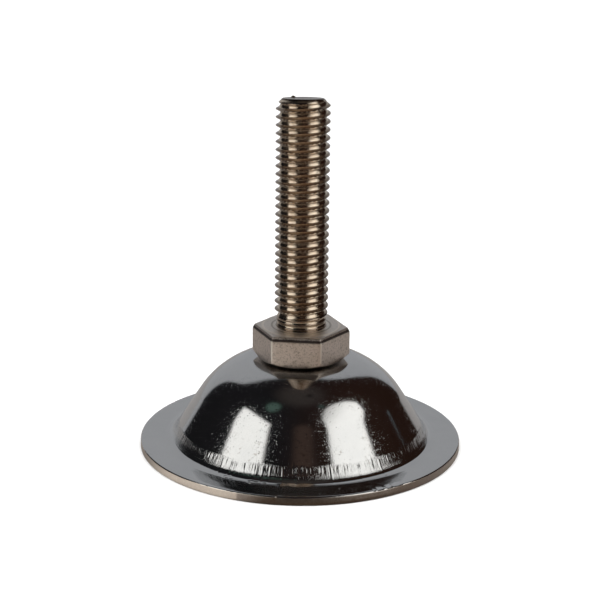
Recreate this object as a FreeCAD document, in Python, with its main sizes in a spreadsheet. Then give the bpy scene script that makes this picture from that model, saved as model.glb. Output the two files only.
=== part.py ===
import FreeCAD, Part
import Sketcher
import math
import os

# Furniture leveling foot: an M10 stud with its own hexagon, riveted through the crown
# of a pressed steel base. Millimetres, +Z up, origin on the floor under the stud.

DIMENSIONS = {
    # pressed base
    "FlangeRadius": 30.0,
    "SheetThickness": 1.6,
    "RimRounding": 0.35,
    "BandOuterRadius": 25.78,
    "BandFillet": 2.8,
    "BandAngle": 62.0,
    "WallAngle": 57.4,
    "DomeRadius": 16.65,
    "DomeCentreOffset": 5.0,
    "CrownBlend": 6.0,
    "CrownFlatRadius": 8.8,
    "CrownHeight": 16.95,
    "CrownHoleRadius": 4.25,
    # stem: stud, neck and hexagon
    "StudCrestRadius": 4.985,
    "StudRootRadius": 4.03,
    "StudEndHeight": 66.4,
    "StudEndChamfer": 0.85,
    "ThreadPitch": 1.5,
    "ThreadTurns": 28.5,
    "ThreadStartHeight": 24.97,
    "GrooveFloorWidth": 0.3,
    "GrooveOverrun": 0.06,
    "RunOutHeight": 0.55,
    "NeckRadius": 4.25,
    "NeckLength": 0.7,
    "NeckFillet": 0.6,
    "HexAcrossFlats": 15.8,
    "HexBottomHeight": 17.2,
    "HexThickness": 6.1,
    "HexTopRounding": 0.6,
    "HexSeatRadius": 7.5,
    "HexChamferAngle": 30.0,
    "HexTurn": -6.3,
    # stem: spigot and peened head
    "SpigotRadius": 4.0,
    "HeadRadius": 6.0,
    "HeadTopHeight": 13.55,
    "HeadEdgeThickness": 0.9,
    "HeadCrownDepth": 1.7,
    # washer inside the bell
    "WasherRadius": 8.0,
    "WasherHoleRadius": 4.2,
    "WasherThickness": 1.5,
    "WasherTopHeight": 15.3,
    "WasherChamfer": 0.25,
}


# the thread groove takes about an eighth of the stem's volume; far less means that it missed
SMALLEST_THREAD_CUT = 0.08

doc = FreeCAD.newDocument("leveling_foot")
Dims = doc.addObject("Spreadsheet::Sheet", "Dims")
for row, (alias, value) in enumerate(DIMENSIONS.items(), start=1):
    Dims.set(f"A{row}", alias)
    Dims.set(f"B{row}", str(value))
    Dims.setAlias(f"B{row}", alias)
doc.recompute()


def evaluate(expression):
    """Number that an expression over the sheet gives, for a sketch's first geometry."""
    return float(Dims.evalExpression(expression))


def origin_plane(body, role):
    """Return the body's own origin plane or axis that has this role."""
    return next(item for item in body.Origin.OriginFeatures if item.Role == role)


def add_sketch(body, name, role):
    """Add an empty sketch on one of the body's origin planes."""
    sketch = body.newObject("Sketcher::SketchObject", name)
    sketch.AttachmentSupport = [(origin_plane(body, role), "")]
    sketch.MapMode = "FlatFace"
    return sketch


def bind(sketch, name, expression, constraint):
    """Add one dimension to a sketch and bind it to the sheet."""
    index = sketch.addConstraint(constraint)
    sketch.renameConstraint(index, name)
    sketch.setExpression(f"Constraints.{name}", expression)


def line(start, end):
    return Part.LineSegment(FreeCAD.Vector(*start, 0), FreeCAD.Vector(*end, 0))


def arc(centre, radius, start_angle, end_angle):
    """Arc from start to end angle in degrees, counter-clockwise."""
    circle = Part.Circle(FreeCAD.Vector(*centre, 0), FreeCAD.Vector(0, 0, 1), radius)
    return Part.ArcOfCircle(circle, math.radians(start_angle), math.radians(end_angle))


def polar(centre, radius, angle):
    """Point at an angle in degrees round a centre."""
    turn = math.radians(angle)
    return (centre[0] + radius * math.cos(turn), centre[1] + radius * math.sin(turn))


def revolve(body, name, sketch):
    """Turn a sketch of radius against height through a full circle about Z."""
    turned = body.newObject("PartDesign::Revolution", name)
    turned.Profile = sketch
    turned.ReferenceAxis = (sketch, ["V_Axis"])
    turned.Angle = 360.0
    doc.recompute()


def straight_outline(sketch, corners):
    """Draw a closed outline through (name, radius, height) corners, each bound to the sheet.

    radius and height are expressions over the sheet's aliases, written with Dims.
    """
    places = [(evaluate(radius), evaluate(height)) for _, radius, height in corners]
    count = len(corners)
    for index in range(count):
        sketch.addGeometry(line(places[index], places[(index + 1) % count]), False)
    for index in range(count):
        sketch.addConstraint(Sketcher.Constraint("Coincident", index, 2, (index + 1) % count, 1))
    for index, (name, radius, height) in enumerate(corners):
        pin_corner(sketch, index, name, radius, height)


def pin_corner(sketch, index, name, radius, height):
    """Fix the start of one piece of an outline at a bound radius and height."""
    if radius == "0":
        sketch.addConstraint(Sketcher.Constraint("PointOnObject", index, 1, -2))
    else:
        bind(sketch, f"{name}Radius", radius,
             Sketcher.Constraint("DistanceX", -1, 1, index, 1, evaluate(radius)))
    bind(sketch, f"{name}Height", height,
         Sketcher.Constraint("DistanceY", -1, 1, index, 1, evaluate(height)))


def circle_edges(shape, radius, height):
    """Names of the circular edges with this radius at this height."""
    names = []
    for number, edge in enumerate(shape.Edges, start=1):
        if not isinstance(edge.Curve, Part.Circle):
            continue
        if abs(edge.Curve.Radius - radius) < 1e-4 and abs(edge.Curve.Center.z - height) < 1e-4:
            names.append(f"Edge{number}")
    return names


def dress_edges(body, kind, name, edges, size_property, expression):
    """Fillet or chamfer edges of the body's last feature."""
    base = body.Tip
    dressed = body.newObject(kind, name)
    dressed.Base = (base, edges)
    dressed.setExpression(size_property, expression)


def draw_sheet_section(sketch):
    """Half section of the pressed base: outer skin from crown to rim, inner skin back up.

    Every arc of the inner skin shares its centre with the outer one, a sheet's thickness away.
    """
    sheet = evaluate("Dims.SheetThickness")
    crown = evaluate("Dims.CrownHeight")
    hole = evaluate("Dims.CrownHoleRadius")
    flat = evaluate("Dims.CrownFlatRadius")
    blend = evaluate("Dims.CrownBlend")
    dome = evaluate("Dims.DomeRadius")
    wall_angle = evaluate("Dims.WallAngle")
    band_angle = evaluate("Dims.BandAngle")
    foot = evaluate("Dims.BandFillet")
    flange = evaluate("Dims.FlangeRadius")

    blend_centre = (flat, crown - blend)
    offset = evaluate("Dims.DomeCentreOffset")
    reach = math.sqrt((dome - blend) ** 2 - (flat - offset) ** 2)
    dome_centre = (offset, blend_centre[1] - reach)
    foot_centre = (evaluate("Dims.BandOuterRadius"), sheet + foot)
    steep = 90 - wall_angle
    shallow = math.degrees(math.atan2(reach, flat - offset))
    foot_start = 270 - band_angle

    def crease(dome_arc, foot_arc):
        """Where the straight wall below a dome arc meets the steeper band above a foot arc."""
        wall_top = polar(dome_centre, dome_arc, steep)
        band_foot = polar(foot_centre, foot_arc, foot_start)
        wall_run = polar((0, 0), 1, -wall_angle)
        band_run = polar((0, 0), 1, -band_angle)
        gap = (band_foot[0] - wall_top[0], band_foot[1] - wall_top[1])
        length = (gap[0] * band_run[1] - gap[1] * band_run[0]) / (
            wall_run[0] * band_run[1] - wall_run[1] * band_run[0])
        return (wall_top[0] + length * wall_run[0], wall_top[1] + length * wall_run[1])

    outer_crease = crease(dome, foot)
    inner_crease = crease(dome - sheet, foot + sheet)
    pieces = [
        line((hole, crown), (flat, crown)),
        arc(blend_centre, blend, shallow, 90),
        arc(dome_centre, dome, steep, shallow),
        line(polar(dome_centre, dome, steep), outer_crease),
        line(outer_crease, polar(foot_centre, foot, foot_start)),
        arc(foot_centre, foot, foot_start, 270),
        line((foot_centre[0], sheet), (flange, sheet)),
        line((flange, sheet), (flange, 0)),
        line((flange, 0), (foot_centre[0], 0)),
        arc(foot_centre, foot + sheet, foot_start, 270),
        line(polar(foot_centre, foot + sheet, foot_start), inner_crease),
        line(inner_crease, polar(dome_centre, dome - sheet, steep)),
        arc(dome_centre, dome - sheet, steep, shallow),
        arc(blend_centre, blend - sheet, shallow, 90),
        line((flat, crown - sheet), (hole, crown - sheet)),
        line((hole, crown - sheet), (hole, crown)),
    ]
    for piece in pieces:
        sketch.addGeometry(piece, False)
    (crown_top, blend_out, dome_out, wall_out, band_out, foot_out, flange_top, rim,
     sole, foot_in, band_in, wall_in, dome_in, blend_in, crown_under,
     hole_wall) = range(len(pieces))

    start, end, centre = 1, 2, 3
    x_axis, origin = -1, (-1, 1)
    smooth_joints = [
        (crown_top, end, blend_out, end), (blend_out, start, dome_out, end),
        (dome_out, start, wall_out, start), (band_out, end, foot_out, start),
        (foot_out, end, flange_top, start), (sole, end, foot_in, end),
        (foot_in, start, band_in, start), (wall_in, end, dome_in, start),
        (dome_in, end, blend_in, start), (blend_in, end, crown_under, start),
    ]
    sharp_joints = [
        (wall_out, end, band_out, start), (flange_top, end, rim, start),
        (rim, end, sole, start), (band_in, end, wall_in, start),
        (crown_under, end, hole_wall, start), (hole_wall, end, crown_top, start),
        (foot_in, centre, foot_out, centre), (dome_in, centre, dome_out, centre),
        (blend_in, centre, blend_out, centre),
    ]
    for joint in smooth_joints:
        sketch.addConstraint(Sketcher.Constraint("Tangent", *joint))
    for joint in sharp_joints:
        sketch.addConstraint(Sketcher.Constraint("Coincident", *joint))
    for level in (crown_top, flange_top, sole, crown_under):
        sketch.addConstraint(Sketcher.Constraint("Horizontal", level))
    for upright in (rim, hole_wall):
        sketch.addConstraint(Sketcher.Constraint("Vertical", upright))
    sketch.addConstraint(Sketcher.Constraint("Parallel", wall_out, wall_in))
    sketch.addConstraint(Sketcher.Constraint("Parallel", band_out, band_in))
    sketch.addConstraint(Sketcher.Constraint("PointOnObject", rim, end, x_axis))

    distances = [
        ("HoleRadius", "DistanceX", crown_top, start, "Dims.CrownHoleRadius"),
        ("CrownHeight", "DistanceY", crown_top, start, "Dims.CrownHeight"),
        ("CrownFlat", "DistanceX", crown_top, end, "Dims.CrownFlatRadius"),
        ("DomeOffset", "DistanceX", dome_out, centre, "Dims.DomeCentreOffset"),
        ("BandOuter", "DistanceX", foot_out, end, "Dims.BandOuterRadius"),
        ("FlangeTop", "DistanceY", flange_top, end, "Dims.SheetThickness"),
        ("FlangeEdge", "DistanceX", flange_top, end, "Dims.FlangeRadius"),
    ]
    for name, kind, piece, point, expression in distances:
        value = evaluate(expression)
        bind(sketch, name, expression, Sketcher.Constraint(kind, *origin, piece, point, value))
    radii = [
        ("BlendRadius", blend_out, "Dims.CrownBlend"),
        ("DomeRadius", dome_out, "Dims.DomeRadius"),
        ("FootRadius", foot_out, "Dims.BandFillet"),
        ("InnerRadius", dome_in, "Dims.DomeRadius - Dims.SheetThickness"),
    ]
    for name, piece, expression in radii:
        bind(sketch, name, expression, Sketcher.Constraint("Radius", piece, evaluate(expression)))
    bind(sketch, "WallSlope", "-Dims.WallAngle * 1 deg",
         Sketcher.Constraint("Angle", wall_out, -math.radians(wall_angle)))
    bind(sketch, "BandSlope", "-Dims.BandAngle * 1 deg",
         Sketcher.Constraint("Angle", band_out, -math.radians(band_angle)))


def make_dome_base():
    """Pressed sheet base: crown, domed wall, draw band and flange in one skin."""
    body = doc.addObject("PartDesign::Body", "dome_base")
    sketch = add_sketch(body, "sheet_section", "XZ_Plane")
    draw_sheet_section(sketch)
    revolve(body, "pressed_sheet", sketch)
    rim_edges = circle_edges(body.Shape, Dims.FlangeRadius, Dims.SheetThickness)
    dress_edges(body, "PartDesign::Fillet", "rim_rounding", rim_edges, "Radius", "Dims.RimRounding")
    return body


def draw_hexagon(sketch):
    """Regular hexagon about the origin, its first corner on the X axis."""
    across = evaluate("Dims.HexAcrossFlats")
    corner_radius = across / math.sqrt(3)
    corners = [polar((0, 0), corner_radius, 60 * index) for index in range(6)]
    for index in range(6):
        sketch.addGeometry(line(corners[index], corners[(index + 1) % 6]), False)
    guide = sketch.addGeometry(Part.Circle(FreeCAD.Vector(0, 0, 0), FreeCAD.Vector(0, 0, 1),
                                           corner_radius), True)
    sketch.addConstraint(Sketcher.Constraint("Coincident", guide, 3, -1, 1))
    for index in range(6):
        sketch.addConstraint(Sketcher.Constraint("Coincident", index, 2, (index + 1) % 6, 1))
        sketch.addConstraint(Sketcher.Constraint("PointOnObject", index, 1, guide))
    for index in range(5):
        sketch.addConstraint(Sketcher.Constraint("Equal", index, index + 1))
    sketch.addConstraint(Sketcher.Constraint("PointOnObject", 0, 1, -1))
    bind(sketch, "CornerRadius", "Dims.HexAcrossFlats / sqrt(3)",
         Sketcher.Constraint("Radius", guide, corner_radius))


def add_hexagon(body):
    """Pad the hexagon on the shank, chamfer its seat and round its top edges."""
    sketch = add_sketch(body, "hexagon_outline", "XY_Plane")
    sketch.setExpression("AttachmentOffset.Base.z", "Dims.HexBottomHeight * 1 mm")
    draw_hexagon(sketch)
    pad = body.newObject("PartDesign::Pad", "hexagon")
    pad.Profile = sketch
    pad.setExpression("Length", "Dims.HexThickness")
    doc.recompute()

    top = Dims.HexBottomHeight + Dims.HexThickness
    top_edges = []
    for number, edge in enumerate(body.Shape.Edges, start=1):
        level = all(abs(vertex.Z - top) < 1e-4 for vertex in edge.Vertexes)
        if level and isinstance(edge.Curve, Part.Line):
            top_edges.append(f"Edge{number}")
    dress_edges(body, "PartDesign::Fillet", "hexagon_top_rounding", top_edges,
                "Radius", "Dims.HexTopRounding")

    chamfer_sketch = add_sketch(body, "seat_chamfer_section", "XZ_Plane")
    outside = "Dims.HexAcrossFlats"
    rise = "(Dims.HexAcrossFlats - Dims.HexSeatRadius) * tan(Dims.HexChamferAngle * 1 deg)"
    straight_outline(chamfer_sketch, [
        ("Seat", "Dims.HexSeatRadius", "Dims.HexBottomHeight"),
        ("Low", outside, "Dims.HexBottomHeight"),
        ("High", outside, f"Dims.HexBottomHeight + {rise}"),
    ])
    groove = body.newObject("PartDesign::Groove", "seat_chamfer")
    groove.Profile = chamfer_sketch
    groove.ReferenceAxis = (chamfer_sketch, ["V_Axis"])
    groove.Angle = 360.0
    doc.recompute()


def draw_shank_section(sketch):
    """Half section of everything round on the stem, from the peened head up to the stud's end."""
    hex_top = "Dims.HexBottomHeight + Dims.HexThickness"
    neck_foot = f"{hex_top} + Dims.NeckFillet"
    neck_top = f"{neck_foot} + Dims.NeckLength"
    straight_outline(sketch, [
        ("End", "0", "Dims.StudEndHeight"),
        ("HeadPole", "0", "Dims.HeadTopHeight - Dims.HeadEdgeThickness - Dims.HeadCrownDepth"),
        ("HeadFace", "Dims.SpigotRadius",
         "Dims.HeadTopHeight - Dims.HeadEdgeThickness - Dims.HeadCrownDepth"),
        ("HeadRim", "Dims.HeadRadius", "Dims.HeadTopHeight - Dims.HeadEdgeThickness"),
        ("HeadShoulder", "Dims.HeadRadius", "Dims.HeadTopHeight"),
        ("SpigotFoot", "Dims.SpigotRadius", "Dims.HeadTopHeight"),
        ("SpigotTop", "Dims.SpigotRadius", "Dims.HexBottomHeight"),
        ("FlareFoot", "Dims.NeckRadius + Dims.NeckFillet", "Dims.HexBottomHeight"),
        ("FlareEdge", "Dims.NeckRadius + Dims.NeckFillet", hex_top),
        ("NeckFoot", "Dims.NeckRadius", neck_foot),
        ("NeckTop", "Dims.NeckRadius", neck_top),
        ("RunOut", "Dims.StudCrestRadius", f"{neck_top} + Dims.RunOutHeight"),
        ("ChamferFoot", "Dims.StudCrestRadius", "Dims.StudEndHeight - Dims.StudEndChamfer"),
        ("ChamferTop", "Dims.StudCrestRadius - Dims.StudEndChamfer", "Dims.StudEndHeight"),
    ])


def cut_thread(body):
    """Cut the right-hand thread groove from the neck out past the stud's end."""
    half_floor = "Dims.GrooveFloorWidth / 2"
    mouth = "Dims.StudCrestRadius + Dims.GrooveOverrun"
    half_mouth = (f"{half_floor} + (Dims.StudCrestRadius + Dims.GrooveOverrun"
                  " - Dims.StudRootRadius) * tan(30 deg)")
    sketch = add_sketch(body, "groove_section", "XZ_Plane")
    straight_outline(sketch, [
        ("FloorLow", "Dims.StudRootRadius", f"Dims.ThreadStartHeight - {half_floor}"),
        ("MouthLow", mouth, f"Dims.ThreadStartHeight - ({half_mouth})"),
        ("MouthHigh", mouth, f"Dims.ThreadStartHeight + {half_mouth}"),
        ("FloorHigh", "Dims.StudRootRadius", f"Dims.ThreadStartHeight + {half_floor}"),
    ])
    helix = body.newObject("PartDesign::SubtractiveHelix", "thread")
    helix.Profile = sketch
    helix.ReferenceAxis = (sketch, ["V_Axis"])
    helix.Mode = "pitch-turns-angle"
    helix.LeftHanded = False
    helix.Angle = 0.0
    helix.setExpression("Pitch", "Dims.ThreadPitch")
    helix.setExpression("Turns", "Dims.ThreadTurns")
    doc.recompute()


def make_threaded_stem():
    """Stud, neck, hexagon, spigot and peened head: one turned and rolled piece."""
    body = doc.addObject("PartDesign::Body", "threaded_stem")
    section = add_sketch(body, "shank_section", "XZ_Plane")
    draw_shank_section(section)
    revolve(body, "shank", section)
    add_hexagon(body)
    plain_volume = body.Shape.Volume
    cut_thread(body)
    removed = 1 - body.Shape.Volume / plain_volume
    if removed < SMALLEST_THREAD_CUT:
        raise RuntimeError(f"the thread groove removed only {removed:.1%} of the stem")
    body.setExpression("Placement.Rotation.Angle", "Dims.HexTurn * 1 deg")
    body.setExpression("Placement.Rotation.Axis.x", "0")
    body.setExpression("Placement.Rotation.Axis.y", "0")
    body.setExpression("Placement.Rotation.Axis.z", "1")
    return body


def make_retaining_washer():
    """Flat washer under the crown, held up by the stem's peened head."""
    body = doc.addObject("PartDesign::Body", "retaining_washer")
    section = add_sketch(body, "washer_section", "XZ_Plane")
    under = "Dims.WasherTopHeight - Dims.WasherThickness"
    straight_outline(section, [
        ("InnerLow", "Dims.WasherHoleRadius", under),
        ("OuterLow", "Dims.WasherRadius", under),
        ("OuterHigh", "Dims.WasherRadius", "Dims.WasherTopHeight"),
        ("InnerHigh", "Dims.WasherHoleRadius", "Dims.WasherTopHeight"),
    ])
    revolve(body, "washer_ring", section)
    rim_edges = circle_edges(body.Shape, Dims.WasherRadius, Dims.WasherTopHeight)
    dress_edges(body, "PartDesign::Chamfer", "washer_chamfer", rim_edges, "Size",
                "Dims.WasherChamfer")
    return body


def check_document():
    """Stop if any object failed to recompute."""
    for item in doc.Objects:
        if "Invalid" in item.State or "Error" in item.State:
            raise RuntimeError(f"{item.Name} did not recompute: {item.State}")


def main():
    pieces = [make_dome_base(), make_threaded_stem(), make_retaining_washer()]
    doc.recompute()
    check_document()
    for piece in pieces:
        if piece.Shape.isNull() or not piece.Shape.isValid():
            raise RuntimeError(f"{piece.Label} has no valid shape")
    os.makedirs("parts", exist_ok=True)
    for piece in pieces:
        piece.Shape.exportStep(f"parts/{piece.Label}.step")
        box = piece.Shape.BoundBox
        print(piece.Label, f"volume {piece.Shape.Volume:.1f}", "solids", len(piece.Shape.Solids),
              f"height {box.ZMin:.3f} to {box.ZMax:.3f}", f"width {box.XLength:.3f}")


main()
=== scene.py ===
import math

import bpy
import numpy as np
from mathutils import Matrix, Vector


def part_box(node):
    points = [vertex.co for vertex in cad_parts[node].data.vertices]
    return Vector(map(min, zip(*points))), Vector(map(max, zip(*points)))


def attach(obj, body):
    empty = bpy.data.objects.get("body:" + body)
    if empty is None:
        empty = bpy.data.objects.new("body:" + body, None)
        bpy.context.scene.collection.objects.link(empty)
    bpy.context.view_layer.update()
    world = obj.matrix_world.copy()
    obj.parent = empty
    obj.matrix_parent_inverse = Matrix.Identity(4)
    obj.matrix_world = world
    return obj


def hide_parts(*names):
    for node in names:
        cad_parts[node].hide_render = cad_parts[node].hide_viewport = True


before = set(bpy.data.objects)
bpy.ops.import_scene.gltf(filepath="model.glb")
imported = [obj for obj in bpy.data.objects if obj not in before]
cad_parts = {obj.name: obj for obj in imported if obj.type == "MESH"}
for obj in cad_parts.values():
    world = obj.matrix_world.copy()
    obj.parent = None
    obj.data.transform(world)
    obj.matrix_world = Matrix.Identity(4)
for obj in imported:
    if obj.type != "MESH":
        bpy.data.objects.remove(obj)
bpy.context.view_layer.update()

# Leveling foot: a mirror-plated pressed base, a rolled M10 stud with its own hexagon, and
# the washer and peened head that hold them together. Metres, +Z up, front towards -Y.

MM = 0.001
TAU = 2 * math.pi

BASE_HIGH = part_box("dome_base")[1]
STEM_LOW, STEM_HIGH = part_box("threaded_stem")
WASHER_LOW, WASHER_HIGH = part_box("retaining_washer")

# pressed base
FLANGE_RADIUS = BASE_HIGH.x
CROWN_HEIGHT = BASE_HIGH.z
SHEET = 1.6 * MM
CROWN_HOLE_RADIUS = 4.25 * MM
CROWN_FLAT_RADIUS = 8.8 * MM
CROWN_BLEND = 6.0 * MM
DOME_RADIUS = 16.65 * MM
DOME_OFFSET = 5.0 * MM
WALL_ANGLE = math.radians(57.4)
BAND_ANGLE = math.radians(62.0)
BAND_FILLET = 2.8 * MM
BAND_OUTER = 25.78 * MM
LIP_RADIUS = 25.25 * MM
RIM_ROUNDING = 0.3 * MM
RIM_CHAMFER = 0.12 * MM
LIP_START, LIP_FULL = 24.5 * MM, 25.1 * MM
LIP_EDGE_WIDTH = 0.07 * MM
LIP_HEIGHT = 0.030 * MM
LOBE_HEIGHT_SHARE = 0.25
HALO_INNER, HALO_CREST, HALO_OUTER = 24.4 * MM, 25.4 * MM, 26.6 * MM
HALO_HEIGHT = 0.05 * MM
SHEAR_HEIGHT = 0.55 * MM
SHEAR_LEAN = 0.22
BURR_COUNT = 90
BURR_DEPTH = 0.05 * MM
NOTCH_COUNT = 16
NOTCH_DEPTH = 0.10 * MM

# stem
STUD_END = STEM_HIGH.z
CREST_RADIUS = 4.985 * MM
ROOT_RADIUS = 4.03 * MM
PITCH = 1.5 * MM
CREST_HEIGHT_AT_LEFT = 62.5 * MM
THREAD_START = 24.75 * MM
THREAD_RUN_OUT = 1.2 * MM
FLANK_ANGLE = math.radians(60)
ROOT_BAND_ANGLE = math.radians(30)
ROOT_BAND_DEPTH = 0.40 * MM
END_TILT = 0.13
END_TILT_LINE = 3.75 * MM
END_CHAMFER = 1.22 * MM
NECK_RADIUS = 4.35 * MM
HEX_TURN = math.radians(-6.3)
HEX_TOP = 23.30 * MM
HEX_BOTTOM = 17.2 * MM
HEX_APOTHEM = 7.9 * MM
HEX_SEAT_RADIUS = 7.5 * MM
HEX_SEAT_ANGLE = math.radians(30)
HEX_CORNER_RADIUS = 0.25 * MM
HEX_BEVEL = 1.05 * MM
SPIGOT_RADIUS = 4.0 * MM
HEAD_RADIUS = 6.0 * MM
HEAD_TOP = 13.55 * MM
HEAD_LOW = STEM_LOW.z
HEAD_CROWN = 1.7 * MM

# washer
WASHER_RADIUS = WASHER_HIGH.x
WASHER_HOLE_RADIUS = 4.2 * MM


def smoothstep(low, high, value):
    """0 below low, 1 above high, with a soft change between."""
    ramp = np.clip((value - low) / (high - low), 0.0, 1.0)
    return ramp * ramp * (3 - 2 * ramp)


def smooth_minimum(first, second, width):
    """Smaller of two values, with the corner between them rounded over a width."""
    closeness = np.clip(width - np.abs(first - second), 0.0, None) / width
    return np.minimum(first, second) - closeness ** 2 * width / 4


def bump_train(angles, centres, widths, heights):
    """Sum of narrow bumps at given angles round a circle."""
    total = np.zeros_like(angles)
    for centre, width, height in zip(centres, widths, heights):
        gap = np.angle(np.exp(1j * (angles - centre)))
        total += height * np.exp(-(gap / width) ** 2)
    return total


def arc_points(centre, radius, start, end, count):
    """Points on an arc, given as angles from the radial direction."""
    angles = np.linspace(start, end, count)
    return np.column_stack([centre[0] + radius * np.cos(angles), centre[1] + radius * np.sin(angles)])


def line_points(start, end, count):
    """Evenly spaced points between two places, without the first."""
    share = np.linspace(0, 1, count + 1)[1:, None]
    return np.array(start) * (1 - share) + np.array(end) * share


def grid_mesh(name, points, close_rows, sharp_angle=35.0):
    """Mesh from rows of rings: points has the shape rows, ring, 3, and every ring closes."""
    rows, ring, _ = points.shape
    index = np.arange(rows * ring).reshape(rows, ring)
    upper = np.roll(index, -1, axis=0) if close_rows else index[1:]
    lower = index if close_rows else index[:-1]
    corners = [lower, np.roll(lower, -1, axis=1), np.roll(upper, -1, axis=1), upper]
    faces = np.stack(corners, axis=-1).reshape(-1, 4)
    mesh = bpy.data.meshes.new(name)
    mesh.from_pydata(points.reshape(-1, 3).tolist(), [], faces.tolist())
    mesh.validate()
    mesh.shade_smooth()
    mesh.set_sharp_from_angle(angle=math.radians(sharp_angle))
    piece = bpy.data.objects.new(name, mesh)
    bpy.context.scene.collection.objects.link(piece)
    return piece


def turned(name, radii, heights, angles, close_rows, sharp_angle=35.0):
    """Grid mesh of rings about Z: radii and heights have the shape rows, angles."""
    points = np.stack([radii * np.cos(angles), radii * np.sin(angles), heights], axis=-1)
    return grid_mesh(name, points, close_rows, sharp_angle)


def plain_turned(name, outline, segments, sharp_angle=35.0):
    """Body of revolution from a closed outline of radius and height."""
    angles = np.linspace(0, TAU, segments, endpoint=False)
    outline = np.array(outline)
    radii = np.repeat(outline[:, :1], segments, axis=1)
    heights = np.repeat(outline[:, 1:], segments, axis=1)
    return turned(name, radii, heights, angles[None, :], True, sharp_angle)


# ---------------------------------------------------------------- pressed base

CENTRE_DROP = math.sqrt((DOME_RADIUS - CROWN_BLEND) ** 2 - (CROWN_FLAT_RADIUS - DOME_OFFSET) ** 2)
BLEND_CENTRE = np.array((CROWN_FLAT_RADIUS, CROWN_HEIGHT - CROWN_BLEND))
DOME_CENTRE = np.array((DOME_OFFSET, BLEND_CENTRE[1] - CENTRE_DROP))
FOOT_CENTRE = np.array((BAND_OUTER, SHEET + BAND_FILLET))
SHALLOW = math.atan2(CENTRE_DROP, CROWN_FLAT_RADIUS - DOME_OFFSET)
STEEP = math.pi / 2 - WALL_ANGLE
FOOT_START = 1.5 * math.pi - BAND_ANGLE


def direction(angle):
    return np.array((math.cos(angle), math.sin(angle)))


def wall_corners(inset):
    """Top of one skin's straight wall, the crease under it, and the foot of the steeper band."""
    wall_top = DOME_CENTRE + (DOME_RADIUS - inset) * direction(STEEP)
    band_foot = FOOT_CENTRE + (BAND_FILLET + inset) * direction(FOOT_START)
    wall_run, band_run = direction(-WALL_ANGLE), direction(-BAND_ANGLE)
    gap = band_foot - wall_top
    turn = wall_run[0] * band_run[1] - wall_run[1] * band_run[0]
    length = (gap[0] * band_run[1] - gap[1] * band_run[0]) / turn
    return wall_top, wall_top + length * wall_run, band_foot


def skin(inset, counts):
    """One skin of the sheet from the crown hole to the flange, with the band's share at each point.

    The second result runs from 0 at the crease to 1 where the band's foot meets the flange,
    and is -1 off the band.
    """
    level = CROWN_HEIGHT - inset
    foot_radius = BAND_FILLET + inset
    wall_top, crease, band_foot = wall_corners(inset)
    flat, blend, dome, wall, band, foot = counts
    parts = [
        line_points((CROWN_HOLE_RADIUS, level), (CROWN_FLAT_RADIUS, level), flat),
        arc_points(BLEND_CENTRE, CROWN_BLEND - inset, math.pi / 2, SHALLOW, blend + 1)[1:],
        arc_points(DOME_CENTRE, DOME_RADIUS - inset, SHALLOW, STEEP, dome + 1)[1:],
        line_points(wall_top, crease, wall),
        line_points(crease, band_foot, band),
        arc_points(FOOT_CENTRE, foot_radius, FOOT_START, 1.5 * math.pi, foot + 1)[1:],
    ]
    points = np.vstack(parts)
    share = np.full(len(points), -1.0)
    tail = points[-band - foot - 1:]
    travelled = np.cumsum(np.linalg.norm(np.diff(tail, axis=0), axis=1))
    share[-band - foot - 1] = 0.0
    share[-band - foot:] = travelled / travelled[-1]
    return points, share


def rim_outline():
    """Rim from the flange's top, round its rounded upper edge, down to the sole."""
    corner = (FLANGE_RADIUS - RIM_ROUNDING, SHEET - RIM_ROUNDING)
    low = RIM_CHAMFER
    return np.vstack([
        line_points((BAND_OUTER, SHEET), (HALO_OUTER, SHEET), 4),
        line_points((HALO_OUTER, SHEET), (corner[0], SHEET), 4),
        arc_points(corner, RIM_ROUNDING, math.pi / 2, 0, 6)[1:],
        line_points((FLANGE_RADIUS, corner[1]), (FLANGE_RADIUS, low), 8),
        line_points((FLANGE_RADIUS, low), (FLANGE_RADIUS - low, 0), 1),
        line_points((FLANGE_RADIUS - low, 0), (BAND_OUTER, 0), 6),
    ])


def draw_marks(angles, share, rng):
    """Height of the radial draw marks on the band, by angle and by place down the band."""
    marks = np.zeros((len(share), len(angles)))
    on_band = share[:, None]
    for _ in range(9):
        count = 120
        centres = rng.uniform(0, TAU, count)
        widths = rng.uniform(0.0030, 0.0085, count)
        heights = rng.normal(0, 0.014 * MM, count)
        begin = rng.uniform(-0.02, 0.05)
        reach = rng.uniform(0.18, 0.55)
        window = smoothstep(begin, begin + 0.04, on_band) * (1 - smoothstep(reach * 0.5, reach, on_band))
        marks += window * bump_train(angles, centres, widths, heights)[None, :]
    long_centres = np.radians([-126.5, -121.8, -119.6, -110.2, -109.3, -106.6, -103.2, -97.5, -91,
                               -76, -63, -52])
    count = len(long_centres)
    long_marks = bump_train(angles, long_centres, rng.uniform(0.006, 0.010, count),
                            rng.uniform(0.025, 0.05, count) * MM)
    marks += smoothstep(0.02, 0.1, on_band) * (1 - smoothstep(0.75, 0.95, on_band)) * long_marks[None, :]
    marks[share < 0] = 0.0
    return marks


def scallops(angles):
    """Small lobes where the metal flowed out past the band's foot, at the front left."""
    centres = np.radians([-121.8, -119.3, -110.0, -107.6, -104.4, -98.0])
    widths = np.radians([1.0, 0.8, 1.3, 0.9, 0.8, 1.1])
    heights = np.array([0.30, 0.20, 0.38, 0.20, 0.16, 0.30]) * MM
    return bump_train(angles, centres, widths, heights)


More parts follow.
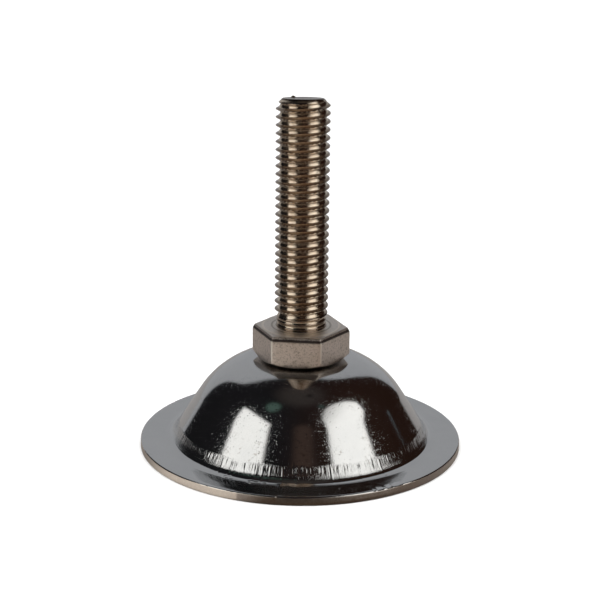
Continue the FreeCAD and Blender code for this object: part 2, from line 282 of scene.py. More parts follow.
def make_base():
    segments = 1800
    angles = np.linspace(0, TAU, segments, endpoint=False)
    rng = np.random.default_rng(11)
    outer, outer_share = skin(0.0, (5, 10, 26, 14, 10, 40))
    rim = rim_outline()
    inner, _ = skin(SHEET, (4, 6, 12, 4, 4, 6))
    inner = inner[::-1]
    outline = np.vstack([outer, rim, inner[1:]])
    share = np.concatenate([outer_share, np.full(len(rim) + len(inner) - 1, -1.0)])

    radii = np.repeat(outline[:, :1], segments, axis=1)
    heights = np.repeat(outline[:, 1:], segments, axis=1)
    marks = draw_marks(angles, share, rng)
    radii += marks * math.sin(BAND_ANGLE)
    heights += marks * math.cos(BAND_ANGLE)
    top_side = (np.arange(len(outline)) < len(outer) + 6)[:, None]
    lobes = scallops(angles)[None, :]
    lip_edge = LIP_RADIUS + lobes
    lip = smoothstep(LIP_START, LIP_FULL, radii)
    lip *= 1 - smoothstep(lip_edge - LIP_EDGE_WIDTH, lip_edge, radii)
    heights += top_side * lip * (LIP_HEIGHT + LOBE_HEIGHT_SHARE * lobes)
    beside = smoothstep(0.55, 0.85, np.abs(np.cos(angles)))[None, :]
    halo = smoothstep(HALO_INNER, HALO_CREST, radii) * (1 - smoothstep(HALO_CREST, HALO_OUTER, radii))
    heights += top_side * beside * halo * HALO_HEIGHT

    rim_rows = (outline[:, 0] > FLANGE_RADIUS - RIM_ROUNDING - 0.01 * MM)[:, None]
    rolled_over = smoothstep(-1.72, -1.70, angles - TAU) * (1 - smoothstep(-1.05, -0.75, angles - TAU))
    lean = np.clip(outline[:, 1:] - SHEAR_HEIGHT, 0, None) * SHEAR_LEAN
    radii -= rim_rows * lean * rolled_over[None, :]
    burrs = bump_train(angles, rng.uniform(0, TAU, BURR_COUNT), rng.uniform(0.003, 0.010, BURR_COUNT),
                       rng.uniform(-BURR_DEPTH, 0.0, BURR_COUNT))
    notch_angles = np.radians(rng.uniform(-64, -49, NOTCH_COUNT))
    burrs += bump_train(angles, notch_angles, rng.uniform(0.003, 0.007, NOTCH_COUNT),
                        np.full(NOTCH_COUNT, -NOTCH_DEPTH))
    edge = slice(len(outer) + 7, len(outer) + 11)
    heights[edge] += burrs[None, :]
    radii = np.minimum(radii, FLANGE_RADIUS)
    return turned("base_shell", radii, heights, angles[None, :], True, 40.0)


# ---------------------------------------------------------------- stem

def thread_radius(angles, heights):
    """Radius of the rolled thread at each angle and height, without its ends."""
    crest = CREST_HEIGHT_AT_LEFT + PITCH * (angles - math.pi) / TAU
    phase = (heights - crest) / PITCH
    above = (phase - np.floor(phase)) * PITCH
    steep = math.tan(FLANK_ANGLE)
    upper_flank = CREST_RADIUS + 0.02 * MM - above * steep
    underside = CREST_RADIUS + 0.02 * MM - (PITCH - above) * steep
    root_band = CREST_RADIUS - ROOT_BAND_DEPTH - above * math.tan(ROOT_BAND_ANGLE)
    lower = smooth_minimum(-upper_flank, -root_band, 0.14 * MM)
    radius = -smooth_minimum(lower, -underside, 0.10 * MM)
    return smooth_minimum(radius, np.full_like(radius, CREST_RADIUS), 0.07 * MM)


def cut_plane(y):
    """Height of the stud's sheared end face: it was cut off a little askew and falls to the back."""
    return STUD_END - END_TILT * (y + END_TILT_LINE)


def make_stud():
    segments = 180
    angles = np.linspace(0, TAU, segments, endpoint=False)[None, :]
    rows = int((STUD_END - HEX_TOP) / (PITCH / 32))
    levels = np.linspace(HEX_TOP - 0.02 * MM, STUD_END, rows)[:, None]
    heights = np.repeat(levels, segments, axis=1)
    cut = np.clip((levels - THREAD_START) / THREAD_RUN_OUT, 0, 1)
    rise = levels - HEX_TOP
    neck = NECK_RADIUS + 0.35 * MM * np.exp(-rise / (0.10 * MM))
    for ring, width, height in ((0.36, 0.24, 0.26), (1.25, 0.28, 0.24)):
        neck = neck + height * MM * np.exp(-((rise - ring * MM) / (width * MM)) ** 2)
    radii = thread_radius(np.repeat(angles, rows, axis=0), heights)
    radii = neck + (radii - neck) * cut
    chamfer = CREST_RADIUS - END_CHAMFER + cut_plane(radii * np.sin(angles)) - levels
    radii = smooth_minimum(radii, chamfer, 0.10 * MM)

    nick_angle, nick_height = math.radians(-52), 53.2 * MM
    turn = np.angle(np.exp(1j * (angles - nick_angle)))
    nick = np.exp(-(turn / 0.10) ** 2 - ((levels - nick_height) / (0.55 * MM)) ** 2)
    radii -= 0.25 * MM * nick * smoothstep(ROOT_RADIUS, CREST_RADIUS, radii)
    rng = np.random.default_rng(5)
    dents = np.zeros_like(radii)
    for _ in range(260):
        centre, level = rng.uniform(0, TAU), rng.uniform(26, 65) * MM
        turn = np.angle(np.exp(1j * (angles - centre)))
        near = np.abs(levels[:, 0] - level) < 0.8 * MM
        across = (levels[near] - level) / (rng.uniform(0.15, 0.35) * MM)
        shape = np.exp(-(turn / rng.uniform(0.03, 0.08)) ** 2 - across ** 2)
        dents[near] += rng.uniform(0.01, 0.05) * MM * shape
    radii -= dents * smoothstep(CREST_RADIUS - 0.3 * MM, CREST_RADIUS, radii)

    end_radii = radii[-1:] * np.array([0.985, 0.9, 0.75, 0.5, 0.25, 0.004])[:, None]
    uneven = 0.03 * MM * np.sin(2 * angles + 0.6) * np.array([0.2, 1.0, 0.9, 0.6, 0.3, 0.0])[:, None]
    end_heights = STUD_END - 0.03 * MM + uneven
    heights = np.minimum(heights, cut_plane(radii * np.sin(angles)))
    end_heights = np.minimum(end_heights, cut_plane(end_radii * np.sin(angles)) + uneven / 2)
    burr = np.exp(-((angles - math.radians(127)) / 0.10) ** 2)
    heights[-8:] += 0.30 * MM * burr
    end_heights[0] += 0.18 * MM * burr[0]

    all_radii = np.vstack([radii, end_radii])
    all_heights = np.vstack([heights, end_heights])
    return turned("stud", all_radii, all_heights, angles, False, 60.0)


def hexagon_ring(apothem, corner_radius, per_side=10, per_corner=4):
    """Points round a hexagon with rounded corners, the first corner on the turned X axis."""
    points = []
    centre_distance = (apothem - corner_radius) / math.cos(math.pi / 6)
    for side in range(6):
        middle = side * math.pi / 3
        centre = centre_distance * np.array([math.cos(middle), math.sin(middle)])
        sweep = np.linspace(middle - math.pi / 6, middle + math.pi / 6, per_corner + 1)
        corner = [centre + corner_radius * np.array([math.cos(turn), math.sin(turn)]) for turn in sweep]
        points.extend(corner)
        after = middle + math.pi / 3
        next_centre = centre_distance * np.array([math.cos(after), math.sin(after)])
        normal = middle + math.pi / 6
        next_start = next_centre + corner_radius * np.array([math.cos(normal), math.sin(normal)])
        for step in range(1, per_side):
            points.append(corner[-1] + (next_start - corner[-1]) * step / per_side)
    return np.array(points)


def make_hexagon():
    """Hexagon with its worn top bevel and chamfered seat, and the spigot and head below it."""
    outline = hexagon_ring(HEX_APOTHEM, HEX_CORNER_RADIUS)
    around = np.arctan2(outline[:, 1], outline[:, 0])
    unit = np.column_stack([np.cos(around), np.sin(around)])

    def circle(radius, height):
        return np.column_stack([unit * radius, np.full(len(unit), height)])

    def lofted(points, height):
        return np.column_stack([points, np.full(len(points), height)])

    reach = np.linalg.norm(outline, axis=1)
    slope = math.tan(HEX_SEAT_ANGLE)
    seat_edge = HEX_BOTTOM + (reach - HEX_SEAT_RADIUS) * slope

    rings = [circle(0.02 * MM, HEAD_LOW)]
    for radius, height in head_outline():
        rings.append(circle(radius, height))
    rings.append(circle(SPIGOT_RADIUS, HEX_BOTTOM))
    rings.append(circle(HEX_SEAT_RADIUS - 0.08 * MM, HEX_BOTTOM))
    rings.append(circle(HEX_SEAT_RADIUS, HEX_BOTTOM + 0.03 * MM))
    for share in (0.5, 0.93):
        radius = HEX_SEAT_RADIUS + (reach - HEX_SEAT_RADIUS) * share
        height = HEX_BOTTOM + (radius - HEX_SEAT_RADIUS) * slope
        rings.append(np.column_stack([unit * radius[:, None], height]))
    rings.append(np.column_stack([outline, seat_edge + 0.05 * MM]))
    for height in np.linspace(seat_edge.max() + 0.2 * MM, HEX_TOP - HEX_BEVEL - 0.03 * MM, 6):
        rings.append(lofted(outline, height))
    for inset, drop in ((0.02, 0.92), (0.06, 0.82), (0.26, 0.36), (0.33, 0.25), (0.42, 0.16), (0.52, 0.12)):
        ring = hexagon_ring(HEX_APOTHEM - inset * MM, HEX_CORNER_RADIUS)
        rings.append(lofted(ring, HEX_TOP - drop * MM))
    top_circle = 7.32 * MM
    inner = np.linalg.norm(rings[-1][:, :2], axis=1)
    for share, drop in ((0.3, 0.12), (0.9, 0.10), (0.97, 0.06)):
        radius = inner + (top_circle - inner) * share
        height = HEX_TOP - drop * MM
        rings.append(np.column_stack([unit * radius[:, None], np.full(len(unit), height)]))
    for radius, drop in ((7.28, 0.02), (7.18, 0.0), (5.7, 0.0), (5.55, 0.04), (5.35, 0.04), (5.2, 0.0),
                         (4.3, 0.0)):
        rings.append(circle(radius * MM, HEX_TOP - drop * MM))
    points = np.stack(rings)
    turn = Matrix.Rotation(HEX_TURN, 3, "Z")
    points = points @ np.array(turn).T
    return grid_mesh("hexagon", points, False, 28.0)


def head_outline():
    """Peened head from its lowest ring up to the spigot."""
    dome = [(HEAD_RADIUS * math.sin(turn), HEAD_LOW + HEAD_CROWN * (1 - math.cos(turn)))
            for turn in np.linspace(0.15, math.pi / 2, 9)]
    shoulder = [
        (HEAD_RADIUS, HEAD_TOP - 0.15 * MM),
        (HEAD_RADIUS - 0.15 * MM, HEAD_TOP),
        (SPIGOT_RADIUS + 0.1 * MM, HEAD_TOP),
        (SPIGOT_RADIUS, HEAD_TOP + 0.1 * MM),
    ]
    return dome + shoulder


def make_washer():
    low, high = WASHER_LOW.z, WASHER_HIGH.z
    bevel = 0.2 * MM
    outline = [
        (WASHER_HOLE_RADIUS, low + bevel), (WASHER_HOLE_RADIUS + bevel, low),
        (WASHER_RADIUS - 2 * bevel, low), (WASHER_RADIUS - bevel / 2, low + bevel / 2),
        (WASHER_RADIUS, low + 2 * bevel), (WASHER_RADIUS, high - bevel),
        (WASHER_RADIUS - bevel, high), (WASHER_HOLE_RADIUS + bevel, high),
        (WASHER_HOLE_RADIUS, high - bevel),
    ]
    return plain_turned("washer", outline, 128)


# ---------------------------------------------------------------- materials

class Nodes:
    """Short way to add and join shader nodes in one material or world."""

    def __init__(self, owner):
        owner.use_nodes = True
        self.tree = owner.node_tree
        self.tree.nodes.clear()

    def add(self, kind, settings=None, **inputs):
        node = self.tree.nodes.new(kind)
        for name, value in (settings or {}).items():
            setattr(node, name, value)
        for name, value in inputs.items():
            self.put(node, name.replace("_", " "), value)
        return node

    def put(self, node, name, value):
        """Set one input, or join it if the value is another node's output."""
        socket = node.inputs[int(name)] if name.isdigit() else node.inputs[name]
        if isinstance(value, bpy.types.NodeSocket):
            self.tree.links.new(value, socket)
        else:
            socket.default_value = value

    def ramp(self, factor, stops):
        """Colour ramp with grey or colour stops."""
        node = self.add("ShaderNodeValToRGB")
        elements = node.color_ramp.elements
        while len(elements) < len(stops):
            elements.new(0.5)
        for element, (place, colour) in zip(elements, stops):
            element.position = place
            element.color = (*colour, 1) if isinstance(colour, tuple) else (colour,) * 3 + (1,)
        self.tree.links.new(factor, node.inputs[0])
        return node.outputs[0]

    def noise(self, place, scale, detail=2.0, roughness=0.5):
        node = self.add("ShaderNodeTexNoise", Scale=scale, Detail=detail, Roughness=roughness)
        self.tree.links.new(place, node.inputs["Vector"])
        return node.outputs["Fac"]

    def math(self, operation, first, second=0.0):
        node = self.add("ShaderNodeMath", {"operation": operation})
        self.put(node, "0", first)
        self.put(node, "1", second)
        return node.outputs[0]

    def split(self, vector):
        """The three components of a vector."""
        node = self.add("ShaderNodeSeparateXYZ")
        self.tree.links.new(vector, node.inputs[0])
        return [node.outputs[axis] for axis in ("X", "Y", "Z")]

    def joined(self, x, y, z):
        """Vector put together from three values."""
        node = self.add("ShaderNodeCombineXYZ", X=x, Y=y, Z=z)
        return node.outputs[0]

    def step(self, value, low, high):
        """Smooth change from 0 at low to 1 at high."""
        node = self.add("ShaderNodeMapRange", {"interpolation_type": "SMOOTHSTEP"},
                        From_Min=low, From_Max=high)
        self.tree.links.new(value, node.inputs["Value"])
        return node.outputs[0]

    def between(self, value, low, high, soft):
        """1 between low and high, falling to 0 over a soft width outside."""
        rise = self.step(value, low - soft, low)
        fall = self.step(value, high + soft, high)
        return self.math("MULTIPLY", rise, fall)

    def blend(self, factor, first, second):
        """Mix of two colours, each a tuple or another node's output."""
        node = self.add("ShaderNodeMix", {"data_type": "RGBA"})
        self.put(node, "0", factor)
        for place, colour in ((6, first), (7, second)):
            value = (*colour, 1) if isinstance(colour, tuple) else colour
            self.put(node, str(place), value)
        return node.outputs[2]

    def bump(self, height, distance, strength=1.0, normal=None):
        node = self.add("ShaderNodeBump", Strength=strength, Distance=distance)
        self.tree.links.new(height, node.inputs["Height"])
        if normal is not None:
            self.tree.links.new(normal, node.inputs["Normal"])
        return node.outputs["Normal"]


def finish_metal(nodes, colour, roughness, normal):
    """Join a metal's colour, roughness and relief to its shader and the output."""
    shader = nodes.add("ShaderNodeBsdfPrincipled", Metallic=1.0)
    nodes.tree.links.new(colour, shader.inputs["Base Color"])
    nodes.tree.links.new(roughness, shader.inputs["Roughness"])
    nodes.tree.links.new(normal, shader.inputs["Normal"])
    output = nodes.add("ShaderNodeOutputMaterial")
    nodes.tree.links.new(shader.outputs[0], output.inputs["Surface"])
    return shader


def round_place(nodes, place, squeeze):
    """Noise coordinates round the Z axis, their height scaled by squeeze; then radius and height."""
    x, y, z = nodes.split(place)
    square = nodes.math("ADD", nodes.math("MULTIPLY", x, x), nodes.math("MULTIPLY", y, y))
    radius = nodes.math("SQRT", square)
    around = nodes.joined(nodes.math("DIVIDE", x, radius), nodes.math("DIVIDE", y, radius),
                          nodes.math("MULTIPLY", z, squeeze))
    return around, radius, z


def speckles(nodes, place, scale, share, size):
    """Scattered round pits: 1 in each pit's middle, 0 elsewhere; share is how many cells have one."""
    cells = nodes.add("ShaderNodeTexVoronoi", {"feature": "F1"}, Scale=scale, Randomness=1.0)
    nodes.tree.links.new(place, cells.inputs["Vector"])
    chosen = nodes.math("GREATER_THAN", nodes.split(cells.outputs["Color"])[0], 1 - share)
    return nodes.math("MULTIPLY", nodes.step(cells.outputs["Distance"], size, 0.0), chosen)


def make_plated():
    """Bright plating over a pressed sheet: nearly a mirror, pitted, with a sheared dull rim that carries a
    painted dark reflection on its front right and a painted highlight along its top edge.
    """
    material = bpy.data.materials.new("mirror_plating")
    nodes = Nodes(material)
    place = nodes.add("ShaderNodeTexCoord").outputs["Object"]
    around, radius, z = round_place(nodes, place, 6.0)
    rim = nodes.math("MULTIPLY", nodes.step(radius, 29.74 * MM, 29.86 * MM),
                     nodes.step(z, 1.50 * MM, 1.36 * MM))
    band = nodes.math("MULTIPLY", nodes.between(z, 2.3 * MM, 4.2 * MM, 0.35 * MM),
                      nodes.step(radius, 22.3 * MM, 22.65 * MM))

    cloud = nodes.noise(place, 160.0, 4.0, 0.6)
    stain = nodes.step(nodes.noise(place, 700.0, 5.0, 0.75), 0.56, 0.72)
    low_wall = nodes.between(z, 4.4 * MM, 7.2 * MM, 1.6 * MM)
    clean = nodes.ramp(cloud, [(0.3, (0.60, 0.605, 0.605)), (0.7, (0.64, 0.64, 0.635))])
    stained = nodes.blend(nodes.math("MULTIPLY", stain, low_wall), clean, (0.40, 0.385, 0.36))
    grain = nodes.noise(around, 420.0, 4.0, 0.7)
    # The rim colour comes in two copies: the darker one, used on the rim's front right, is a painted
    # reflection of the camera's dark.
    light_shear = nodes.ramp(grain, [(0.3, (0.52, 0.44, 0.37)), (0.7, (0.73, 0.63, 0.54))])
    shear_in_painted_reflection = nodes.ramp(grain, [(0.3, (0.20, 0.16, 0.13)), (0.7, (0.44, 0.38, 0.34))])
    x, y, _ = nodes.split(place)
    painted_reflection_part = nodes.math("MULTIPLY", nodes.step(x, -11.3 * MM, -10.7 * MM),
                           nodes.step(y, -8.0 * MM, -22.0 * MM))
    sheared = nodes.blend(painted_reflection_part, light_shear, shear_in_painted_reflection)
    # Painted highlight: a bright line along the rim's rounded top edge.
    painted_highlight_line = nodes.between(z, 1.40 * MM, 1.50 * MM, 0.03 * MM)
    sheared = nodes.blend(nodes.math("MULTIPLY", painted_highlight_line, 0.8), sheared, (1.0, 0.86, 0.70))
    colour = nodes.blend(rim, stained, sheared)

    haze = nodes.step(nodes.noise(place, 14000.0, 1.0, 0.5), 0.62, 0.68)
    polished = nodes.math("ADD", 0.075, nodes.math("MULTIPLY", haze, 0.14))
    roughness = nodes.math("ADD", polished, nodes.math("MULTIPLY", rim, 0.24))

    peel = nodes.noise(place, 420.0, 3.0, 0.55)
    coarse_pits = speckles(nodes, place, 1700.0, 0.35, 0.26)
    fine_pits = speckles(nodes, place, 2900.0, 0.50, 0.34)
    streaks = nodes.noise(around, 160.0, 3.0, 0.65)
    normal = nodes.bump(peel, 0.0000040)
    on_dome = nodes.step(z, 3.9 * MM, 5.0 * MM)
    sparkle = nodes.noise(place, 8500.0, 1.0, 0.5)
    normal = nodes.bump(nodes.math("MULTIPLY", sparkle, on_dome), 0.0000035, 1.0, normal)
    normal = nodes.bump(nodes.math("MULTIPLY", coarse_pits, on_dome), -0.000016, 1.0, normal)
    normal = nodes.bump(nodes.math("MULTIPLY", fine_pits, on_dome), -0.000010, 1.0, normal)
    normal = nodes.bump(nodes.math("MULTIPLY", streaks, band), 0.000030, 1.0, normal)
    normal = nodes.bump(nodes.math("MULTIPLY", grain, rim), 0.000030, 1.0, normal)
    finish_metal(nodes, colour, roughness, normal)
    return material


def make_rolled():
    """Rolled thread: uneven plating, with painted shade in the roots and on the flanks, its highlights
    drawn out along the stud.
    """
    material = bpy.data.materials.new("rolled_steel")
    nodes = Nodes(material)
    place = nodes.add("ShaderNodeTexCoord").outputs["Object"]
    _, radius, _ = round_place(nodes, place, 1.0)
    cloud = nodes.noise(place, 260.0, 4.0, 0.6)
    bright = nodes.ramp(cloud, [(0.3, (0.62, 0.50, 0.38)), (0.7, (0.72, 0.62, 0.50))])
    # Painted shade: the thread roots are darkened.
    painted_root_shade = nodes.step(radius, 4.14 * MM, 4.02 * MM)
    # Painted shade: the thread flanks are darkened.
    painted_flank_shade = nodes.math("MULTIPLY", nodes.between(radius, 4.50 * MM, 4.88 * MM, 0.06 * MM), 0.75)
    colour = nodes.blend(painted_flank_shade, bright, (0.24, 0.18, 0.14))
    colour = nodes.blend(nodes.math("MULTIPLY", painted_root_shade, 0.8), colour, (0.10, 0.07, 0.05))
    roughness = nodes.ramp(cloud, [(0.3, 0.14), (0.7, 0.19)])
    normal = nodes.bump(nodes.noise(place, 2200.0, 3.0, 0.6), 0.000012)
    rings, _, _ = round_place(nodes, place, 3000.0)
    normal = nodes.bump(nodes.noise(rings, 3.0, 3.0, 0.7), 0.000022, 1.0, normal)
    shader = finish_metal(nodes, colour, roughness, normal)
    around = nodes.add("ShaderNodeTangent", {"direction_type": "RADIAL", "axis": "Z"})
    nodes.tree.links.new(around.outputs[0], shader.inputs["Tangent"])
    shader.inputs["Anisotropic"].default_value = 0.75
    shader.inputs["Anisotropic Rotation"].default_value = 0.25
    return material


def make_satin():
    """Satin hexagon: flecked grain, painted shade on the top bevel and in the groove round the neck, and
    painted highlights on the corners, the top face and the disc's edge.
    """
    material = bpy.data.materials.new("satin_steel")
    nodes = Nodes(material)
    place = nodes.add("ShaderNodeTexCoord").outputs["Object"]
    cloud = nodes.noise(place, 300.0, 4.0, 0.6)
    fleck = nodes.noise(place, 2500.0, 4.0, 0.8)
    base = nodes.ramp(cloud, [(0.3, (0.625, 0.54, 0.47)), (0.7, (0.715, 0.62, 0.555))])
    dark = nodes.step(fleck, 0.52, 0.36)
    colour = nodes.blend(nodes.math("MULTIPLY", dark, 0.70), base, (0.28, 0.24, 0.20))
    _, radius, z = round_place(nodes, place, 1.0)
    # Painted highlight on the hexagon's rounded corners, above the seat.
    painted_corner_highlight = nodes.math("MULTIPLY", nodes.step(radius, 8.99 * MM, 9.05 * MM),
                      nodes.step(z, 18.4 * MM, 18.8 * MM))
    # Painted shade along the top bevel, with a ragged lower edge.
    ragged = nodes.math("ADD", z, nodes.math("MULTIPLY", nodes.math("SUBTRACT", fleck, 0.5), 0.35 * MM))
    bevel = nodes.between(ragged, HEX_TOP - 0.86 * MM, HEX_TOP - 0.50 * MM, 0.06 * MM)
    colour = nodes.blend(nodes.math("MULTIPLY", bevel, 0.88), colour, (0.065, 0.05, 0.045))
    colour = nodes.blend(painted_corner_highlight, colour, (0.78, 0.71, 0.63))
    top = nodes.step(z, HEX_TOP - 0.2 * MM, HEX_TOP - 0.1 * MM)
    # Painted light: the top face is painted lighter.
    colour = nodes.blend(nodes.math("MULTIPLY", top, 0.7), colour, (0.84, 0.79, 0.73))
    # Painted shade in the groove round the neck.
    groove = nodes.math("MULTIPLY", top, nodes.between(radius, 5.30 * MM, 5.60 * MM, 0.06 * MM))
    colour = nodes.blend(nodes.math("MULTIPLY", groove, 0.55), colour, (0.26, 0.22, 0.18))
    # Painted highlight round the top disc's raised edge.
    painted_disc_edge_highlight = nodes.math("MULTIPLY", top, nodes.between(radius, 6.95 * MM, 7.35 * MM, 0.06 * MM))
    colour = nodes.blend(nodes.math("MULTIPLY", painted_disc_edge_highlight, 0.8), colour, (0.97, 0.88, 0.78))
    side = nodes.ramp(cloud, [(0.3, 0.28), (0.7, 0.38)])
    roughness = nodes.math("ADD", side, nodes.math("MULTIPLY", top, 0.12))
    relief = nodes.math("MULTIPLY", nodes.noise(place, 2100.0, 4.0, 0.75),
                        nodes.math("SUBTRACT", 1.0, nodes.math("MULTIPLY", top, 0.7)))
    normal = nodes.bump(relief, 0.000080)
    finish_metal(nodes, colour, roughness, normal)
    return material


def make_plain():
    """Plain grey washer, out of sight inside the bell."""
    material = bpy.data.materials.new("washer_steel")
    nodes = Nodes(material)
    place = nodes.add("ShaderNodeTexCoord").outputs["Object"]
    cloud = nodes.noise(place, 180.0, 4.0, 0.6)
    colour = nodes.ramp(cloud, [(0.3, (0.48, 0.48, 0.47)), (0.7, (0.54, 0.54, 0.53))])
    roughness = nodes.ramp(cloud, [(0.3, 0.30), (0.7, 0.42)])
    normal = nodes.bump(nodes.noise(place, 3000.0, 4.0, 0.7), 0.00001)
    finish_metal(nodes, colour, roughness, normal)
    return material


# ---------------------------------------------------------------- studio

def stage_mesh(name, corners, faces, material):
    """Flat-faced studio object, not part of the foot."""
    mesh = bpy.data.meshes.new(name)
    mesh.from_pydata(corners, [], faces)
    mesh.materials.append(material)
    piece = bpy.data.objects.new(name, mesh)
    bpy.context.scene.collection.objects.link(piece)
    return piece


def glowing(name, colour, strength, shape=None):
    """Glowing studio surface; shape gives how bright it is at each place, from 0 to 1."""
    material = bpy.data.materials.new(name)
    nodes = Nodes(material)
    glow = nodes.add("ShaderNodeEmission", Color=(*colour, 1), Strength=strength)
    if shape is not None:
        place = nodes.add("ShaderNodeTexCoord").outputs["Object"]
        share = shape(nodes, *nodes.split(place))
        nodes.tree.links.new(nodes.math("MULTIPLY", share, strength), glow.inputs["Strength"])
    output = nodes.add("ShaderNodeOutputMaterial")
    nodes.tree.links.new(glow.outputs[0], output.inputs["Surface"])
    return material


def make_floor():
    """Pale floor: white to the camera; the metal mirrors it dimmer, with two patches in front."""
    material = bpy.data.materials.new("floor_paper")
    nodes = Nodes(material)
    place = nodes.add("ShaderNodeTexCoord").outputs["Object"]
    x, y, _ = nodes.split(place)
    pale = nodes.ramp(nodes.noise(place, 3.0), [(0.3, 0.90), (0.7, 0.92)])
    warm = nodes.math("MULTIPLY", nodes.between(x, -0.05, 0.05, 0.05), nodes.step(y, -0.01, -0.04))
    sweep = nodes.blend(warm, (0.255, 0.245, 0.24), (0.31, 0.265, 0.23))
    centre = nodes.math("MULTIPLY", nodes.between(x, -0.006, 0.018, 0.012),
                        nodes.between(y, -0.05, -0.03, 0.012))
    beside = nodes.math("MULTIPLY", nodes.between(x, -0.06, -0.016, 0.010),
                        nodes.between(y, -0.06, -0.02, 0.012))
    mirrored = nodes.blend(centre, sweep, (0.10, 0.075, 0.055))
    mirrored = nodes.blend(beside, mirrored, (0.60, 0.60, 0.59))
    to_camera = nodes.add("ShaderNodeLightPath").outputs["Is Camera Ray"]
    seen = nodes.add("ShaderNodeBsdfDiffuse")
    nodes.tree.links.new(pale, seen.inputs["Color"])
    glossy_view = nodes.add("ShaderNodeBsdfDiffuse")
    nodes.tree.links.new(mirrored, glossy_view.inputs["Color"])
    mixed = nodes.add("ShaderNodeMixShader")
    for number, socket in enumerate((to_camera, glossy_view.outputs[0], seen.outputs[0])):
        nodes.tree.links.new(socket, mixed.inputs[number])
    output = nodes.add("ShaderNodeOutputMaterial")
    nodes.tree.links.new(mixed.outputs[0], output.inputs["Surface"])
    half = 2.4
    level = -0.02 * MM
    corners = [(-half, -half, level), (half, -half, level), (half, half, level), (-half, half, level)]
    stage_mesh("floor", corners, [(0, 1, 2, 3)], material)


def make_softboxes():
    """Two softboxes beside the camera; the left one's top slants, the right one's is rounded."""
    side = 0.6
    left = [(-0.20, 0.12), (-0.17, 0.55), (-0.05, 1.02), (-1.25, 1.53), (-1.12, 0.12)]
    right = [(-0.30, 0.12), (-0.22, 0.60), (0.02, 0.80), (0.13, 1.10), (0.07, 1.35), (-0.06, 1.65),
             (-0.38, 2.15), (-0.75, 2.50), (-1.04, 2.60), (-1.50, 2.40), (-1.45, 0.12)]

    def right_glow(nodes, x, y, z):
        return nodes.math("ADD", 0.55, nodes.math("MULTIPLY", nodes.step(z, 1.40, 0.60), 0.45))

    for name, sign, outline, strength, shape in (
            ("softbox_left", -1, left, 1.33, None), ("softbox_right", 1, right, 1.40, right_glow)):
        corners = [(sign * side, side * y, side * z) for y, z in outline]
        cloth = glowing(name + "_cloth", (1.0, 0.99, 0.96), strength, shape)
        stage_mesh(name, corners, [tuple(range(len(corners)))], cloth)


def make_backdrop():
    """Grey paper that hangs behind the object, its top edge lost in the dark."""
    def fade(nodes, x, y, z):
        return nodes.step(z, 2.05, 1.55)

    paper = glowing("backdrop_paper", (0.98, 1.0, 1.04), 0.40, fade)
    outline = [(-1.15, 0.0), (-0.92, 0.12), (-0.86, 0.42), (-0.87, 0.68), (-1.13, 1.43), (-1.05, 1.8),
               (-0.8, 2.05), (0.4, 2.05), (0.50, 1.88), (0.68, 1.40), (0.69, 0.83), (0.66, 0.53),
               (0.65, 0.24), (0.60, 0.0)]
    corners = [(x, 1.0, z) for x, z in outline]
    stage_mesh("backdrop", corners, [tuple(range(len(corners)))], paper)


def make_fill():
    """Large soft light overhead that whitens the floor and isn't seen in the metal."""
    light = bpy.data.lights.new("overhead_fill", "AREA")
    light.shape = "RECTANGLE"
    light.size = 4.0
    light.size_y = 4.0
    light.energy = 125.0
    lamp = bpy.data.objects.new("overhead_fill", light)
    lamp.location = (0.0, 0.2, 1.6)
    lamp.visible_glossy = False
    lamp.visible_camera = False
    bpy.context.scene.collection.objects.link(lamp)


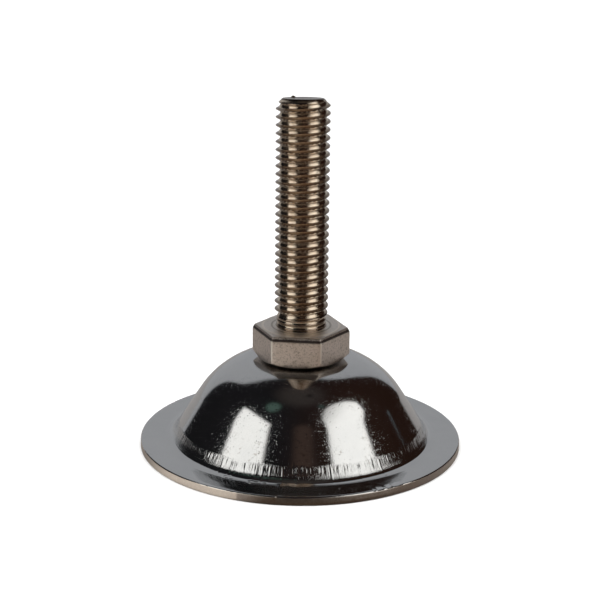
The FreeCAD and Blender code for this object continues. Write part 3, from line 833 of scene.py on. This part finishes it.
def make_world():
    """Dark studio: neutral on the left, browner on the right, with a few faint things in it."""
    world = bpy.data.worlds.new("dark_studio")
    bpy.context.scene.world = world
    nodes = Nodes(world)
    toward = nodes.add("ShaderNodeTexCoord").outputs["Generated"]
    x, _, z = nodes.split(toward)
    colour = nodes.blend(nodes.step(x, -0.5, 0.7), (0.010, 0.010, 0.011), (0.020, 0.010, 0.007))
    colour = nodes.blend(nodes.step(z, 0.93, 1.0), colour, (0.040, 0.034, 0.031))
    faint_things = [
        ((0.05, -0.76, 0.65), 12.0, 0.5, (0.052, 0.034, 0.027)),
        ((-0.371, -0.236, 0.898), 7.4, 4.6, (0.070, 0.115, 0.095)),
        ((0.285, -0.235, 0.929), 3.2, 1.6, (0.035, 0.055, 0.050)),
        ((0.115, 0.006, 0.993), 3.0, 0.0, (0.008, 0.007, 0.007)),
        ((0.872, 0.405, 0.275), 1.3, 0.6, (0.14, 0.18, 0.20)),
    ]
    for heading, outer, inner, tint in faint_things:
        dot = nodes.add("ShaderNodeVectorMath", {"operation": "DOT_PRODUCT"})
        nodes.tree.links.new(toward, dot.inputs[0])
        dot.inputs[1].default_value = Vector(heading).normalized()
        near = nodes.step(dot.outputs["Value"], math.cos(math.radians(outer)),
                          math.cos(math.radians(inner)))
        colour = nodes.blend(near, colour, tint)
    back = nodes.add("ShaderNodeBackground", Strength=1.0)
    nodes.tree.links.new(colour, back.inputs["Color"])
    output = nodes.add("ShaderNodeOutputWorld")
    nodes.tree.links.new(back.outputs[0], output.inputs["Surface"])


def make_camera():
    """Camera a little above the foot, in front of it."""
    elevation = math.radians(17.507)
    roll = math.radians(0.56)
    distance = 0.340
    target = Vector((-0.00025, 0.0, 0.028089))
    back = Vector((0.0, -math.cos(elevation), math.sin(elevation)))
    level_right = Vector((1.0, 0.0, 0.0))
    level_up = back.cross(level_right)
    right = math.cos(roll) * level_right + math.sin(roll) * level_up
    up = math.cos(roll) * level_up - math.sin(roll) * level_right
    data = bpy.data.cameras.new("camera")
    data.lens = 110.4
    data.sensor_width = 36.0
    data.clip_start = 0.01
    camera = bpy.data.objects.new("camera", data)
    axes = Matrix((right, up, back)).transposed().to_4x4()
    camera.matrix_world = Matrix.Translation(target + distance * back) @ axes
    bpy.context.scene.collection.objects.link(camera)
    bpy.context.scene.camera = camera


def main():
    make_camera()
    make_world()
    make_floor()
    make_softboxes()
    make_backdrop()
    make_fill()
    bpy.context.scene.view_settings.view_transform = "Standard"

    plated = make_plated()
    rolled = make_rolled()
    satin = make_satin()
    plain = make_plain()

    base = make_base()
    stud = make_stud()
    hexagon = make_hexagon()
    washer = make_washer()
    dressing = [
        (base, plated, "base", "dome_base", "plated_steel"),
        (stud, rolled, "stem", "threaded_stem", "satin_steel"),
        (hexagon, satin, "stem", "threaded_stem", "satin_steel"),
        (washer, plain, "washer", "retaining_washer", "washer_steel"),
    ]
    for piece, material, body, node, slot in dressing:
        piece.data.materials.append(material)
        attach(piece, body)
        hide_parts(node)


main()
